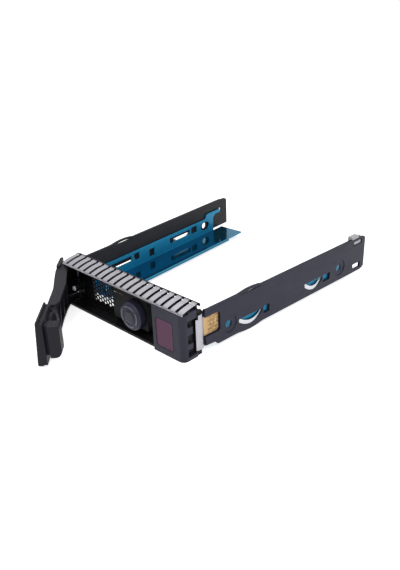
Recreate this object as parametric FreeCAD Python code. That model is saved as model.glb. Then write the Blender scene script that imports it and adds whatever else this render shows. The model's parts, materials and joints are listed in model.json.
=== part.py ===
"""Hot swap drive caddy for 3.5 inch drives, built piece by piece in millimetres.

X runs along the front from left to right, Y runs to the rear, Z is up.
Everything is drawn with Y = 0 on the front face of the end block.
The whole set is shifted at export so that the origin is the middle of the bezel's underside.
"""
import FreeCAD, Part
import math
import os

os.makedirs("parts", exist_ok=True)

V = FreeCAD.Vector

# Driving sizes
DRIVE_W = 101.6        # a 3.5 inch drive
DRIVE_HOLE_UP = 6.35   # side screw holes above the drive's underside
DRIVE_HOLE_PITCH = 101.6
BEZEL_H = 29.0         # height of one drive bay front
CADDY_L = 164.0        # front face to the rear end of the side plates
SPLAY_DEG = 3.27       # the empty side rails stand open by this much each
LEVER_OPEN_DEG = 45.0

# Clearances
GAP = 0.3              # between pieces that move past each other
RUN = 0.05             # radial clearance of a pin in its bore
DRIVE_GAP = 0.6        # between the drive and each inner rail at the front

# Sheet and wall thicknesses
WALL = 1.6
PLATE_T = 1.6
RAIL_T = 1.0
STRIP_T = 0.4

# Width of one drive bay front
BEZEL_W = DRIVE_W + 2 * (DRIVE_GAP + RAIL_T + PLATE_T)

HALF_W = BEZEL_W / 2
ORIGIN_BACK = 7.0      # the origin lies this far behind the block's front face

# Bezel stations, front to rear
RIM_Y = 1.6            # front rim of the black bezel
BOX_Y = 5.6            # front of the indicator housing
PANEL_Y = 10.8         # front of the back panel
PANEL_BACK = 12.8
PAD_BACK = 14.6        # rear of the fixing pads
BEZEL_TOP = BEZEL_H - 0.4
BLOCK_W = 24.4         # width of the grey end block
BLOCK_X = HALF_W - BLOCK_W
PAD_INNER = HALF_W - 9.4
SCREW_X = HALF_W - 5.0

# Lever hinge
HINGE_X = 3.4 - HALF_W
HINGE_Y = 10.0
PIN_R = 1.0
BARREL_R = 2.4
SWEEP_R = 8.3

# Indicator disc
DISC_X = BLOCK_X - 19.8
DISC_Z = 13.0
DISC_R = 8.9
FACE_R = 7.9           # flat face of the drum inside its sloped edge

# Side rails, measured along each rail from the front face and inward from its outer face
RAIL_LOW = 1.8
RAIL_TOP = 26.3
PLATE_Y = 16.2
SEAT_TOP = 4.2
SEAT_INNER = 22.8
SEAT_END = CADDY_L - 8.2
WALL_TOP = 16.0
WALL_START = 17.2
WALL_END = CADDY_L - 18.0
HOLE_FRONT = 34.5
HOLE_REAR = HOLE_FRONT + DRIVE_HOLE_PITCH
HOLE_Z = SEAT_TOP + DRIVE_HOLE_UP
HOLE_R = 2.3


def box(x0, x1, y0, y1, z0, z1):
    return Part.makeBox(x1 - x0, y1 - y0, z1 - z0, V(x0, y0, z0))


def prism_z(points, z0, z1):
    loop = [V(x, y, z0) for x, y in points]
    wire = Part.makePolygon(loop + [loop[0]])
    return Part.Face(wire).extrude(V(0, 0, z1 - z0))


def prism_x(points, x0, x1):
    loop = [V(x0, y, z) for y, z in points]
    wire = Part.makePolygon(loop + [loop[0]])
    return Part.Face(wire).extrude(V(x1 - x0, 0, 0))


def prism_y(points, y0, y1):
    loop = [V(x, y0, z) for x, z in points]
    wire = Part.makePolygon(loop + [loop[0]])
    return Part.Face(wire).extrude(V(0, y1 - y0, 0))


def rod(radius, x, y, z0, z1):
    return Part.makeCylinder(radius, z1 - z0, V(x, y, z0), V(0, 0, 1))


def rod_y(radius, x, z, y0, y1):
    return Part.makeCylinder(radius, y1 - y0, V(x, y0, z), V(0, 1, 0))


def rod_x(radius, y, z, x0, x1):
    return Part.makeCylinder(radius, x1 - x0, V(x0, y, z), V(1, 0, 0))


def tidy(shape):
    """Merge split faces where that leaves a sound solid of the same volume."""
    merged = shape.removeSplitter()
    same = abs(merged.Volume - shape.Volume) < 0.001 * abs(shape.Volume)
    return merged if merged.isValid() and same else shape


def join(first, others):
    shape = first
    for other in others:
        shape = shape.fuse(other)
    return tidy(shape)


def offset_band(points, thickness):
    """Closed outline of a thin sheet that follows a line of (a, b) points."""
    left = []
    right = []
    for i in range(len(points)):
        a = points[max(i - 1, 0)]
        b = points[min(i + 1, len(points) - 1)]
        da = b[0] - a[0]
        db = b[1] - a[1]
        length = math.hypot(da, db)
        na = -db / length * thickness / 2
        nb = da / length * thickness / 2
        left.append((points[i][0] + na, points[i][1] + nb))
        right.append((points[i][0] - na, points[i][1] - nb))
    return left + right[::-1]


def edges_where(shape, test):
    return [edge for edge in shape.Edges if test(edge)]


def is_vertical_at(x, y):
    """Test for a straight vertical edge at one corner."""
    def test(edge):
        box_ = edge.BoundBox
        tall = box_.ZLength > 5 and box_.XLength < 0.01 and box_.YLength < 0.01
        return tall and abs(box_.XMin - x) < 0.01 and abs(box_.YMin - y) < 0.01
    return test


def save(shape, name):
    shape = shape.copy()
    shape.translate(V(0, -ORIGIN_BACK, 0))
    shape.exportStep("parts/" + name + ".step")


# Front bezel: black moulding with the handle recess
GRILLE_PITCH = 2.8
GRILLE_CELL = 1.27     # corner radius of one hexagon
GRILLE_WEB = 0.7       # the panel is thinner behind the grille
HOUSING_X0 = DISC_X - 20.3
HOUSING_X1 = DISC_X + 10.0
GRILLE_X0 = 17.0 - HALF_W
GRILLE_X1 = HOUSING_X0 - 2.5
GRILLE_Z0 = 4.2
GRILLE_Z1 = BEZEL_TOP - 4.0
LATCH_X0 = BLOCK_X - 8.8
LIGHT_X0 = DISC_X - 18.8
LIGHT_X1 = DISC_X - 9.8
LIGHT_Z0 = BEZEL_TOP - 7.4
LIGHT_Z1 = LIGHT_Z0 + 0.6
LIGHTS = 4
FINGERS = 19
FINGER_PITCH = BEZEL_W / FINGERS
COMB_TOP = BEZEL_TOP + 2.5
POST_X = HINGE_X + 5.3
POST_Z = 12.8
POST_TIP = 2.6
SCREW_Z = (8.0, BEZEL_TOP - 7.6)
WEB_TOP = BEZEL_TOP - 3.6   # top of the side plates' front webs


def hexagon(x, z, radius):
    points = []
    for k in range(6):
        a = math.radians(60 * k)
        points.append((x + radius * math.cos(a), z + radius * math.sin(a)))
    return points


def grille_cells():
    cells = []
    column_step = GRILLE_PITCH * math.cos(math.radians(30))
    columns = int((GRILLE_X1 - GRILLE_X0 - 2 * GRILLE_CELL) / column_step) + 1
    for i in range(columns):
        x = GRILLE_X0 + GRILLE_CELL + i * column_step
        z = GRILLE_Z0 + GRILLE_CELL + (GRILLE_PITCH / 2 if i % 2 else 0)
        while z < GRILLE_Z1 - GRILLE_CELL + 0.01:
            cells.append(prism_y(hexagon(x, z, GRILLE_CELL), PANEL_Y - 1, PANEL_BACK + 1))
            z += GRILLE_PITCH
    return cells


def light_windows(y0, y1, shrink=0.0):
    """Row of thin light windows in the housing."""
    windows = []
    step = (LIGHT_X1 - LIGHT_X0) / LIGHTS
    for i in range(LIGHTS):
        x = LIGHT_X0 + i * step
        windows.append(box(x + shrink, x + 0.72 * step - shrink, y0, y1,
                           LIGHT_Z0 + shrink, LIGHT_Z1 - shrink))
    return windows


def front_bezel():
    left = -HALF_W
    floor = box(left, BLOCK_X, RIM_Y, PANEL_BACK, 0, WALL)
    roof = box(left, BLOCK_X, RIM_Y, PANEL_BACK, BEZEL_TOP - WALL, BEZEL_TOP)
    panel = box(HINGE_X + 4.1, HALF_W - 2.4, PANEL_Y, PANEL_BACK, 0, BEZEL_TOP)
    roof_right = box(BLOCK_X, HALF_W, PANEL_Y, PANEL_BACK, BEZEL_TOP - WALL, BEZEL_TOP)
    # The hinge pocket is deeper, so that the lever's barrel fits inside it
    pocket_floor = box(left, -PAD_INNER, PANEL_BACK, PAD_BACK, 0, WALL)
    pocket_roof = box(left, -PAD_INNER, PANEL_BACK, PAD_BACK, BEZEL_TOP - WALL, BEZEL_TOP)
    pad_left = box(left + 0.6, -PAD_INNER, PANEL_BACK, PAD_BACK, 0, BEZEL_TOP)
    # Side wall of the hinge pocket, between the lever's two ears
    pocket_side = box(left + 0.1, left + 0.9, 2.6, PANEL_BACK + 0.1,
                      LEVER_Z0 + EAR_T + GAP, LEVER_Z1 - EAR_T - GAP)
    pad_right = box(PAD_INNER, HALF_W - 0.6, PANEL_BACK, PAD_BACK, 0, BEZEL_TOP - WALL)
    # Black core seen through the open teeth of the end block, and the side wall behind it
    core = box(HALF_W - 3.6, HALF_W - 2.0, 3.6, PANEL_Y, 1.9, BEZEL_TOP - 1.8)
    side = box(HALF_W - 2.4, HALF_W - 0.6, PANEL_Y, PAD_BACK, 0, BEZEL_TOP - WALL)
    # Link from the end block's top back to the side plate
    link = box(HALF_W - 2.4, HALF_W - 0.8, PAD_BACK - 0.1, PLATE_Y - 0.5, WEB_TOP + 0.2,
               BEZEL_TOP - 1.8)
    housing = box(HOUSING_X0, HOUSING_X1, BOX_Y, PANEL_Y, 4.4, BEZEL_TOP - 4.0)
    post = rod_y(2.0, POST_X, POST_Z, POST_TIP, PANEL_Y)
    post_foot = rod_y(2.6, POST_X, POST_Z, 8.6, PANEL_Y)
    stiffener_low = box(HINGE_X + 7.6, HOUSING_X0, 8.6, PANEL_Y, WALL, 2.6)
    comb = []
    for i in range(FINGERS):
        x = left + (i + 0.5) * FINGER_PITCH
        comb.append(box(x - 1.5, x + 1.5, 11.4, PANEL_BACK, BEZEL_TOP, COMB_TOP))
    lip = box(left + 3.0, HALF_W + 0.6, PANEL_BACK - 0.2, 13.5, COMB_TOP - 0.6, COMB_TOP + 0.8)
    body = join(floor, [roof, panel, roof_right, pocket_floor, pocket_roof, pad_left, pocket_side,
                        pad_right, core, side, link, housing, post, post_foot, stiffener_low,
                        lip] + comb)
    # Round the left front corners so that the lever's cheek can swing past them
    corner = box(left - 1, HINGE_X, -1, HINGE_Y, -1, BEZEL_TOP + 1)
    corner = corner.cut(rod(SWEEP_R, HINGE_X, HINGE_Y, -2, BEZEL_TOP + 2))
    corner = corner.cut(box(left - 2, HINGE_X + 1, HINGE_Y - 2.5, HINGE_Y + 2, -2, 40))
    cuts = [corner]
    cuts.append(box(LATCH_X0, BLOCK_X - 0.4, PANEL_Y - 1, PANEL_BACK + 1, 3.4, BEZEL_TOP - 3.0))
    cuts.append(rod(PIN_R, HINGE_X, HINGE_Y, -1, BEZEL_TOP - 0.3))
    cuts.append(box(GRILLE_X0 - 0.6, GRILLE_X1 + 0.6, PANEL_Y + GRILLE_WEB, PANEL_BACK + 1,
                    GRILLE_Z0 - 0.6, GRILLE_Z1 + 0.6))
    cuts += light_windows(BOX_Y - 1, BOX_Y + 1.3)
    cuts.append(box(LIGHT_X0, LIGHT_X1, BOX_Y + 1.2, PANEL_BACK + 1, LIGHT_Z0, LIGHT_Z1 + 0.4))
    cuts.append(box(HOUSING_X0 - 2.0, HOUSING_X0 - 0.9, PANEL_Y - 1, PANEL_BACK + 1, 4.6, 9.4))
    cuts.append(rod_y(0.9, POST_X, POST_Z, POST_TIP - 1, 9.0))
    for x in (-SCREW_X, SCREW_X):
        for z in SCREW_Z:
            cuts.append(rod_y(0.9, x, z, PANEL_BACK + 0.2, PAD_BACK + 1))
    return tidy(body.cut(cuts + grille_cells()))


# Grey end block with the button window and the open teeth on its side
TILE = (BLOCK_X + 3.7, BLOCK_X + 16.4, 4.2, BEZEL_TOP - 6.8)
TILE_GAP = GAP + RUN
TILE_R = 1.5
BUTTON_X = BLOCK_X + 15.2
BUTTON_Y = 1.25
BUTTON_PIN_R = 0.7
TEETH = [(2.3, 7.0), (10.3, 15.9), (20.4, 24.3)]
TEETH_FRONT = 3.7
TEETH_TIPS = 7.6
CATCH_Y0 = 4.2         # the catch stands in front of the lever boss's shoulder
CATCH_Y1 = 5.6


def rounded_slab(x0, x1, y0, y1, z0, z1, radius):
    """Slab with rounded corners as seen from the front."""
    slab = box(x0, x1, y0, y1, z0, z1)
    return slab.makeFillet(radius, edges_where(slab, lambda e: e.BoundBox.YLength > (y1 - y0) / 2))


def end_block():
    x0 = BLOCK_X
    x1 = HALF_W
    shell = box(x0, x1, 0, PANEL_Y, 0, BEZEL_H)
    shell = shell.makeFillet(3.6, edges_where(shell, is_vertical_at(x1, 0)))
    shell = shell.makeFillet(1.2, edges_where(shell, is_vertical_at(x0, 0)))
    hollow = box(x0 + WALL, x1 - WALL - 0.4, 2.7, PANEL_Y + 1, WALL + 0.2, BEZEL_TOP - WALL - 0.1)
    roof_relief = box(x0 - 1, x1 + 1, PANEL_Y - 0.01, PANEL_Y + 1, -1, 40)
    tile_x0, tile_x1, tile_z0, tile_z1 = TILE
    window = rounded_slab(tile_x0 - TILE_GAP, tile_x1 + TILE_GAP, -1, 4,
                          tile_z0 - TILE_GAP, tile_z1 + TILE_GAP, TILE_R + TILE_GAP)
    hook_slot = box(x0 - 1, x0 + WALL + 1, CATCH_Y0 - 0.6, PANEL_Y + 1, 8.2, 17.8)
    step = box(x0 - 1, x1 + 1, -1, 5.0, BEZEL_H - 0.75, BEZEL_H + 1)
    pin_bore = rod(BUTTON_PIN_R + RUN, BUTTON_X, BUTTON_Y, tile_z0 - 2.0, tile_z1 + 2.0)
    cuts = [hollow, roof_relief, window, hook_slot, step, pin_bore]
    for z0, z1 in TEETH:
        cuts.append(box(x1 - WALL - 0.8, x1 + 1, TEETH_FRONT, PANEL_Y + 1, z0, z1))
    # The teeth end short of the side contact strip
    cuts.append(box(x1 - WALL - 0.8, x1 + 1, TEETH_TIPS, PANEL_Y + 1, TEETH[0][0], TEETH[-1][1]))
    return tidy(shell.cut(cuts))


# Release button: a rocking tile whose arm carries the catch
def release_button():
    x0, x1, z0, z1 = TILE
    tile = rounded_slab(x0, x1, 0.1, 2.4, z0, z1, TILE_R)
    stub = rod(BUTTON_PIN_R, BUTTON_X, BUTTON_Y, z0 - 1.6, z1 + 1.6)
    rib = box(x0 + 0.4, x0 + 2.2, 2.4, CATCH_Y1, 9.0, 17.0)
    # The catch's nose has a slope that the closing lever pushes on
    tip = BLOCK_X - 0.65
    catch = prism_z([(tip, CATCH_Y0), (x0 + 2.2, CATCH_Y0), (x0 + 2.2, CATCH_Y1),
                     (tip + 1.0, CATCH_Y1), (tip, CATCH_Y0 + 0.7)], 9.4, 16.6)
    return join(tile, [stub, rib, catch])


def button_spring():
    x = BUTTON_X
    line = [(x - 8.2, PANEL_Y - 0.2), (x - 5.4, PANEL_Y - 0.2), (x - 2.2, 8.4), (x - 0.2, 5.6),
            (x - 2.6, 3.6), (x - 6.4, 2.6)]
    return prism_z(offset_band(line, STRIP_T), 10.6, 15.4)


# Round indicator on the housing
DRUM_Y = 0.6           # front face of the drum
RING_OUT = 7.0
RING_IN = 5.8
CAP_R = 4.4


def ring_bars():
    """Crossed bars that part the ring into four arcs."""
    bars = []
    for angle in (45, -45):
        bar = Part.makeBox(20, 6, 1.8, V(DISC_X - 10, -1.5, DISC_Z - 0.9))
        bar.rotate(V(DISC_X, 0, DISC_Z), V(0, 1, 0), angle)
        bars.append(bar)
    return bars


def indicator_drum():
    drum = rod_y(DISC_R, DISC_X, DISC_Z, DRUM_Y, BOX_Y)
    front = edges_where(drum, lambda e: e.BoundBox.YMax < DRUM_Y + 0.01 and e.BoundBox.XLength > 5)
    drum = drum.makeChamfer(DISC_R - FACE_R, front)
    groove = rod_y(RING_OUT, DISC_X, DISC_Z, -1, 2.2).cut(rod_y(RING_IN, DISC_X, DISC_Z, -2, 3))
    groove = groove.cut(ring_bars())
    centre = rod_y(CAP_R, DISC_X, DISC_Z, -1, 1.4)
    return tidy(drum.cut([groove, centre]))


def indicator_ring():
    ring = rod_y(RING_OUT, DISC_X, DISC_Z, 0.3, 2.2).cut(rod_y(RING_IN, DISC_X, DISC_Z, -2, 3))
    return ring.cut(ring_bars())


def indicator_cap():
    cap = rod_y(CAP_R, DISC_X, DISC_Z, 0.45, 1.4)
    rim = rod_y(CAP_R - 1.2, DISC_X, DISC_Z, 0.2, 0.45)
    return join(cap, [rim])


def status_light_pipe():
    guide = box(LIGHT_X0, LIGHT_X1, BOX_Y + 1.3, PANEL_BACK, LIGHT_Z0, LIGHT_Z1 + 0.4)
    return join(guide, light_windows(BOX_Y + 0.1, BOX_Y + 1.4, 0.02))


def led_board():
    top = BEZEL_TOP - 4.2
    board = box(HOUSING_X0 - 1.5, HOUSING_X1 - 0.2, PANEL_BACK, PANEL_BACK + 1.2, 10.2, top)
    plug = box(DISC_X + 2.2, DISC_X + 8.8, PANEL_BACK + 1.2, PANEL_BACK + 2.4, top - 6.4, top - 1.0)
    chip = box(DISC_X - 11.8, DISC_X - 5.8, PANEL_BACK + 1.2, PANEL_BACK + 2.1, 12.6, 17.2)
    return join(board, [plug, chip])


# Ejector lever, drawn closed and then swung open
LEVER_Z0 = 2.4
LEVER_Z1 = BEZEL_TOP - 2.0
CHEEK_Z0 = 0.9
CHEEK_Z1 = BEZEL_TOP - 0.7
EAR_T = 2.2
FLANGE_T = 1.6
TIP_X = BLOCK_X - 1.0
TIP_X0 = DISC_X - 4.8
BOSS_Y0 = 5.8          # front shoulder of the latch boss
BOSS_Y1 = 12.2
LEVER_HOLE_X = DISC_X + 0.6
LEVER_HOLE_R = 10.0


def lever_tip():
    """Finger plate at the lever's free end, its outer face leaning out towards the bottom."""
    plate = prism_x([(-0.1, CHEEK_Z1), (RIM_Y - GAP, CHEEK_Z1), (RIM_Y - GAP, LEVER_Z1 + 0.1),
                     (3.6, LEVER_Z1 + 0.1), (3.6, LEVER_Z0 - 0.5), (RIM_Y - GAP, LEVER_Z0 - 0.5),
                     (RIM_Y - GAP, CHEEK_Z0), (-2.0, CHEEK_Z0)], TIP_X0, TIP_X)
    outer = edges_where(plate, lambda e: e.BoundBox.XLength > 5 and e.BoundBox.YMax < 0)
    plate = plate.makeFillet(0.9, outer)
    end = edges_where(plate, lambda e: e.BoundBox.XMin > TIP_X - 0.01 and e.BoundBox.YMax < 0
                      and e.BoundBox.ZLength > 5)
    return plate.makeFillet(0.9, end)


def lever_boss():
    """Latch boss that enters the bezel's latch opening, rounded at its far end."""
    x0 = LATCH_X0 + 0.8
    x1 = BLOCK_X - 1.1
    boss = box(x0, x1, BOSS_Y0, BOSS_Y1, 6.0, LEVER_Z1 - 1.4)
    low = edges_where(boss, lambda e: e.BoundBox.XLength > 5 and e.BoundBox.YMin > BOSS_Y1 - 0.01
                      and e.BoundBox.ZMax < 7)
    boss = boss.makeFillet(4.2, low)
    high = edges_where(boss, lambda e: e.BoundBox.XLength > 5 and e.BoundBox.YMin > BOSS_Y1 - 0.01
                       and e.BoundBox.ZMin > LEVER_Z1 - 1.5)
    boss = boss.makeFillet(1.6, high)
    root = box(x0 - 0.6, x1 - 2.6, 3.0, BOSS_Y0 + 0.4, 6.6, LEVER_Z1 - 2.0)
    return boss.fuse(root)


def along(share):
    """Place between the hinge and the disc along the lever."""
    return HINGE_X + share * (DISC_X - HINGE_X)


def ejector_lever():
    knee = DISC_X - 1.8
    outer = [(along(0.08), -1.2), (along(0.21), -1.0), (along(0.36), 0.0), (along(0.6), 1.9),
             (knee, 2.2)]
    inner = [(x, y + 2.0) for x, y in outer]
    skin = prism_z(outer + inner[::-1], LEVER_Z0, LEVER_Z1)
    hx = HINGE_X
    cheek = prism_z([(hx - 5.8, -0.2), (hx - 5.0, -0.9), (hx + 4.6, -1.2), (hx + 7.6, -1.15),
                     (hx + 7.6, 1.0), (hx + 4.6, 1.1), (hx - 3.8, 1.3), (hx - 5.4, 1.0)],
                    CHEEK_Z0, CHEEK_Z1)
    joggle = prism_z([(TIP_X0, 0.8), (knee, 0.8), (knee, 4.2), (TIP_X0, 4.2)], LEVER_Z0, LEVER_Z1)
    rim = rod_y(LEVER_HOLE_R + 1.1, LEVER_HOLE_X, DISC_Z, 1.0, 5.2)
    pieces = [cheek, lever_tip(), joggle, rim, lever_boss()]
    # The upper flange is deep and the lower one shallow
    front = [(hx + 4.6, 0.2), (along(0.21), 0.2), (along(0.36), 1.2), (along(0.6), 3.1),
             (DISC_X - 3.6, 3.4)]
    neck = [(hx + 7.6, 5.4), (hx + 4.6, 6.4)]
    deep = [(DISC_X - 3.6, 6.0), (DISC_X - 5.4, 7.6), (DISC_X - 9.2, 8.4), (along(0.68), 8.2),
            (along(0.49), 8.2), (along(0.29), 6.7)]
    shallow = [(DISC_X - 3.6, 4.8), (DISC_X - 9.2, 5.0), (along(0.68), 4.8), (along(0.49), 4.4),
               (along(0.29), 4.6)]
    ear = [(hx - 2.4, 1.2), (hx + 6.6, 0.9), (hx + 7.6, 5.4), (hx + 2.2, 9.2), (hx + 2.0, 11.2),
           (hx - 0.4, 12.3), (hx - 2.2, 10.8)]
    for back, flange_z, ear_z in ((shallow, LEVER_Z0, LEVER_Z0),
                                  (deep, LEVER_Z1 - FLANGE_T, LEVER_Z1 - EAR_T)):
        pieces.append(prism_z(front + back + neck, flange_z, flange_z + FLANGE_T))
        pieces.append(prism_z(ear, ear_z, ear_z + EAR_T))
        pieces.append(rod(BARREL_R, HINGE_X, HINGE_Y, ear_z, ear_z + EAR_T))
    for share, root in ((0.24, 0.2), (0.44, 1.6), (0.64, 3.0)):
        x = along(share)
        pieces.append(prism_x([(root, LEVER_Z0), (4.2, LEVER_Z0), (6.0, LEVER_Z1), (root, LEVER_Z1)],
                              x - 0.6, x + 0.6))
    lever = join(skin, pieces)
    hole = rod_y(LEVER_HOLE_R, LEVER_HOLE_X, DISC_Z, -3, 9)
    bore = rod(PIN_R + RUN, HINGE_X, HINGE_Y, 0, 40)
    lever = tidy(lever.cut([hole, bore]))
    lever.rotate(V(HINGE_X, HINGE_Y, 0), V(0, 0, 1), -LEVER_OPEN_DEG)
    return lever


def lever_pin():
    return rod(PIN_R, HINGE_X, HINGE_Y, 0.2, BEZEL_TOP - 0.3)


def wire_section(point, direction, radius):
    """Six-sided section of a round wire, square to its direction."""
    side = direction.cross(V(0, 0, 1))
    side.normalize()
    up = side.cross(direction)
    up.normalize()
    corners = []
    for k in range(6):
        a = math.radians(60 * k)
        corners.append(point + side * (radius * math.cos(a)) + up * (radius * math.sin(a)))
    return Part.makePolygon(corners + [corners[0]])


def lever_spring():
    """Torsion spring round the lever pin, from a leg on the bezel to a leg towards the lever."""
    wire_r = 0.35
    coil_r = 1.9
    turns = 5
    steps = 8
    pitch = 1.4
    z0 = 9.4
    line = [V(HINGE_X + coil_r, PANEL_BACK, z0)]
    for k in range(turns * steps + 1):
        a = -2 * math.pi * k / steps
        line.append(V(HINGE_X + coil_r * math.cos(a), HINGE_Y + coil_r * math.sin(a),
                      z0 + pitch * k / steps))
    line.append(V(HINGE_X + coil_r, HINGE_Y - 6.8, z0 + pitch * turns))
    sections = []
    for k in range(len(line)):
        if k == 0 or k == len(line) - 1:
            direction = V(0, -1, 0)
        else:
            direction = line[k + 1] - line[k - 1]
            direction.normalize()
        sections.append(wire_section(line[k], direction, wire_r))
    return Part.makeLoft(sections, True, True)


# Contact finger strip along the top of the bezel
def emi_gasket():
    top = BEZEL_TOP
    line = [(1.1, top - 0.15), (1.5, top + 0.7), (4.0, top + 1.5), (8.0, top + 2.35),
            (11.2, top + 2.7), (12.6, top + 2.7)]
    strip = prism_x(offset_band(line, STRIP_T), -HALF_W + 1.6, HALF_W - 0.8)
    cuts = []
    for i in range(1, FINGERS):
        x = -HALF_W + i * FINGER_PITCH
        cuts.append(box(x - 0.2, x + 0.2, 0, 3.2, top - 2, top + 4))
        cuts.append(box(x - 0.8, x + 0.8, 3.0, 11.8, top - 2, top + 4))
    return strip.cut(cuts)


def side_ground_spring(side):
    """Bowed contact strip on the bezel's side, shorter on the side of the hinge."""
    y0, y1 = (PANEL_Y - 0.7, PLATE_Y - 0.3) if side > 0 else (PANEL_BACK + 0.4, PLATE_Y - 0.7)
    x = HALF_W - 0.4
    line = []
    for t, out in ((0.0, 0.0), (0.25, 0.6), (0.5, 0.85), (0.75, 0.6), (1.0, 0.0)):
        line.append((x + out, y0 + t * (y1 - y0)))
    strip = prism_z(offset_band(line, STRIP_T), 3.6, 22.6)
    curl = prism_z(offset_band(line[1:4], STRIP_T), 22.6, 25.0)
    strip = join(strip, [curl])
    if side < 0:
        strip = strip.mirror(V(0, 0, 0), V(1, 0, 0))
    return strip


# Side rails are drawn for the right side along Y, then turned open and mirrored
def place_rail(shape, side):
    """Move a piece drawn with its outer face on X = 0 to its side of the bezel."""
    shape = shape.copy()
    shape.translate(V(HALF_W, 0, 0))
    shape.rotate(V(HALF_W, 0, 0), V(0, 0, 1), -SPLAY_DEG)
    if side < 0:
        shape = shape.mirror(V(0, 0, 0), V(1, 0, 0))
    return shape


def prism_side(points, off0, off1):
    """Prism of a (y, z) outline between two depths inward from the outer face."""
    return prism_x(points, -off1, -off0)


WINDOWS = [(42.4, 62.0, 4.3, 10.2), (101.0, 118.4, 5.0, 11.3)]
SQUARES = [(62.9, 68.2, 6.1, 10.9), (119.2, 126.3, 6.4, 11.2)]
LEAF_H = 0.3           # height of a leaf spring as a share of its window's height
LEAF_OUT = 0.6         # depth of a leaf spring behind the plate's outer face
TOUCH = 0.02           # between pieces that rest on each other


def d_outline(y0, y1, z0, z1, grow=0.0):
    """A window with a straight top and a bowed bottom."""
    points = [(y0 - grow, z1 + grow), (y1 + grow, z1 + grow)]
    steps = 8
    for k in range(steps + 1):
        t = k / steps
        y = y1 + grow - t * (y1 - y0 + 2 * grow)
        sag = 1 - (2 * t - 1) ** 2
        points.append((y, z1 - (z1 - z0) * (0.35 + 0.65 * sag) - grow))
    return points


def side_plate(side):
    low = RAIL_LOW
    top = RAIL_TOP
    outline = [(PLATE_Y, 22.0), (PLATE_Y, 26.9), (18.6, 26.4), (22.0, 26.5), (41.6, 26.5)]
    bow = 8
    for k in range(1, bow):
        t = k / bow
        outline.append((41.6 + 20.6 * t, 26.5 + 1.0 * math.sin(math.pi * t)))
    end = CADDY_L
    outline += [(62.2, top), (end - 10.4, top), (end - 7.6, 26.1), (end - 1.4, 25.4), (end, 24.2)]
    if side > 0:
        outline += [(end, 3.6), (end - 1.6, 2.4), (end - 4.4, low)]
    else:
        outline += [(end, 4.9), (end - 17.0, 4.9), (end - 17.0, low)]
    outline += [(62.2, low)]
    for k in range(1, bow):
        t = k / bow
        outline.append((62.2 - 20.6 * t, low - 1.0 * math.sin(math.pi * t)))
    outline += [(41.6, low), (25.6, low), (23.4, 4.0), (16.8, 4.4), (PLATE_Y, 9.8),
                (26.4, 9.8), (27.6, 11.0), (27.6, 20.6), (26.4, 22.0)]
    plate = prism_side(outline, 0, PLATE_T)
    cuts = []
    # Lens slot under the upper bow spring
    slot = []
    for k in range(9):
        t = k / 8
        slot.append((43.6 + 17.4 * t, 25.45 + 0.75 * math.sin(math.pi * t)))
    for k in range(9):
        t = k / 8
        slot.append((61.0 - 17.4 * t, 25.35 - 0.25 * math.sin(math.pi * t)))
    cuts.append(prism_side(slot, -1, PLATE_T + 1))
    for y0, y1, z0, z1 in WINDOWS:
        cuts.append(prism_side(d_outline(y0, y1, z0, z1), -1, PLATE_T + 1))
    for y0, y1, z0, z1 in SQUARES if side > 0 else []:
        cuts.append(box(-PLATE_T - 1, 1, y0, y1, z0, z1))
    for y in (HOLE_FRONT, HOLE_REAR):
        cuts.append(rod_x(HOLE_R, y, HOLE_Z, -PLATE_T - 1, 1))
        cuts.append(rod_x(5.4, y + 0.6, HOLE_Z, -0.5, 1))
    if side > 0:
        cuts.append(box(-PLATE_T - 1, 1, end - 13.0, end - 4.0, 21.4, 24.4))
        cuts.append(box(-PLATE_T - 1, 1, end - 12.8, end - 4.4, 4.0, 7.8))
    else:
        cuts.append(box(-PLATE_T - 1, 1, end - 10.8, end - 6.4, 16.6, 19.4))
    plate = place_rail(plate.cut(cuts), side)
    # Web across the back of the bezel that the fixing screws go through
    web = box(PAD_INNER, HALF_W - 0.8, PAD_BACK, PAD_BACK + 1.8, 4.6, WEB_TOP)
    cheek = box(HALF_W - 1.4, HALF_W - 0.4, PAD_BACK + 1.5, PAD_BACK + 3.6,
                WEB_TOP - 2.8, WEB_TOP + 0.6)
    foot = box(HALF_W - 1.4, HALF_W - 0.4, PAD_BACK + 1.5, PAD_BACK + 2.4, 4.6, 9.6)
    pieces = [web, cheek, foot]
    for z in SCREW_Z:
        pieces = [p.cut(rod_y(1.2, SCREW_X, z, PAD_BACK - 1, PAD_BACK + 3)) for p in pieces]
    if side < 0:
        pieces = [p.mirror(V(0, 0, 0), V(1, 0, 0)) for p in pieces]
    return join(plate, pieces)


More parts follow.
